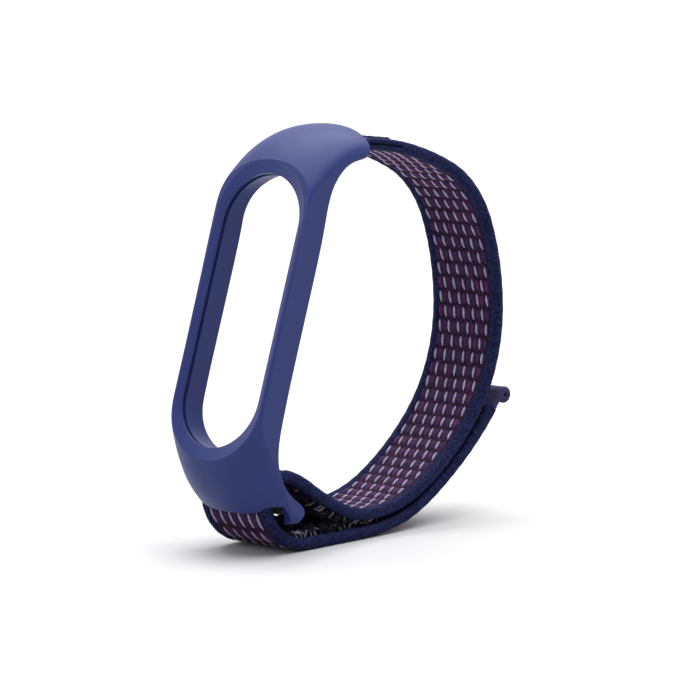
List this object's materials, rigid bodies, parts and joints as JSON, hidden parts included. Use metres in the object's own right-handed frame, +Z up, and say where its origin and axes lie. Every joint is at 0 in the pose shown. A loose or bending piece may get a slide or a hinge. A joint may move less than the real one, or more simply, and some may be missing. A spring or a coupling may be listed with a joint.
{
  "type": "fitness tracker band",
  "caption": "Loop band for a wrist tracker: moulded case frame with an empty pill-shaped window, spring bars and a woven hook-and-loop strap with a rolled pull tab.",
  "frame": {"origin": "on the floor under the middle of the bounding box", "axes": "+X across the strap, +Y from the case frame to the back of the loop, +Z up"},
  "size_m": [0.02, 0.0688, 0.0694],
  "materials": {
    "case": "soft touch",
    "webbing": "woven",
    "thread": "matte",
    "hook": "matte",
    "bar_steel": "satin"
  },
  "bodies": {
    "band": {"case_frame": "case", "upper_bar_tube": "bar_steel", "upper_bar_spring": "bar_steel", "lower_bar_tube": "bar_steel", "lower_bar_spring": "bar_steel", "strap_end_fold": "webbing", "strap_end_stitching": "thread", "strap_main_run": "webbing", "strap_wrap": "webbing", "strap_tail_base": "webbing"},
    "upper_bar_plunger_near": {"upper_bar_plunger_near": "bar_steel"},
    "upper_bar_plunger_far": {"upper_bar_plunger_far": "bar_steel"},
    "lower_bar_plunger_near": {"lower_bar_plunger_near": "bar_steel"},
    "lower_bar_plunger_far": {"lower_bar_plunger_far": "bar_steel"},
    "tail_1": {"strap_tail_1": "webbing"},
    "tail_2": {"strap_tail_2": "webbing"},
    "tail_3": {"strap_tail_3": "webbing", "hook_patch_3": "hook", "patch_stitching_inner": "thread"},
    "tail_4": {"strap_tail_4": "webbing", "hook_patch_4": "hook"},
    "tail_5": {"strap_tail_5": "webbing", "hook_patch_5": "hook", "patch_stitching_outer": "thread", "tab_stitching": "thread", "pull_tab": "webbing"}
  },
  "joints": [
    {"name": "tail_peel_1", "type": "hinge", "parent": "band", "child": "tail_1", "pos_m": [0, 0.00622, 0.00101], "axis": [-1, 0, 0], "range_deg": [0, 20]},
    {"name": "tail_peel_2", "type": "hinge", "parent": "tail_1", "child": "tail_2", "pos_m": [0, 0.01209, 0.00304], "axis": [-1, 0, 0], "range_deg": [0, 20]},
    {"name": "tail_peel_3", "type": "hinge", "parent": "tail_2", "child": "tail_3", "pos_m": [0, 0.01744, 0.00601], "axis": [-1, 0, 0], "range_deg": [0, 20]},
    {"name": "tail_peel_4", "type": "hinge", "parent": "tail_3", "child": "tail_4", "pos_m": [0, 0.02244, 0.00946], "axis": [-1, 0, 0], "range_deg": [0, 20]},
    {"name": "tail_peel_5", "type": "hinge", "parent": "tail_4", "child": "tail_5", "pos_m": [0, 0.02714, 0.01334], "axis": [-1, 0, 0], "range_deg": [0, 20]},
    {"name": "upper_bar_near_press", "type": "slide", "parent": "band", "child": "upper_bar_plunger_near", "axis": [-1, 0, 0], "range_m": [0, 0.0012], "stiffness_N_per_m": 50},
    {"name": "upper_bar_far_press", "type": "slide", "parent": "band", "child": "upper_bar_plunger_far", "axis": [1, 0, 0], "range_m": [0, 0.0012], "stiffness_N_per_m": 50},
    {"name": "lower_bar_near_press", "type": "slide", "parent": "band", "child": "lower_bar_plunger_near", "axis": [-1, 0, 0], "range_m": [0, 0.0012], "stiffness_N_per_m": 50},
    {"name": "lower_bar_far_press", "type": "slide", "parent": "band", "child": "lower_bar_plunger_far", "axis": [1, 0, 0], "range_m": [0, 0.0012], "stiffness_N_per_m": 50}
  ],
  "couplings": [
    {"joint": "tail_peel_2", "follows": "tail_peel_1", "ratio": 1},
    {"joint": "tail_peel_3", "follows": "tail_peel_1", "ratio": 1},
    {"joint": "tail_peel_4", "follows": "tail_peel_1", "ratio": 1},
    {"joint": "tail_peel_5", "follows": "tail_peel_1", "ratio": 1}
  ]
}
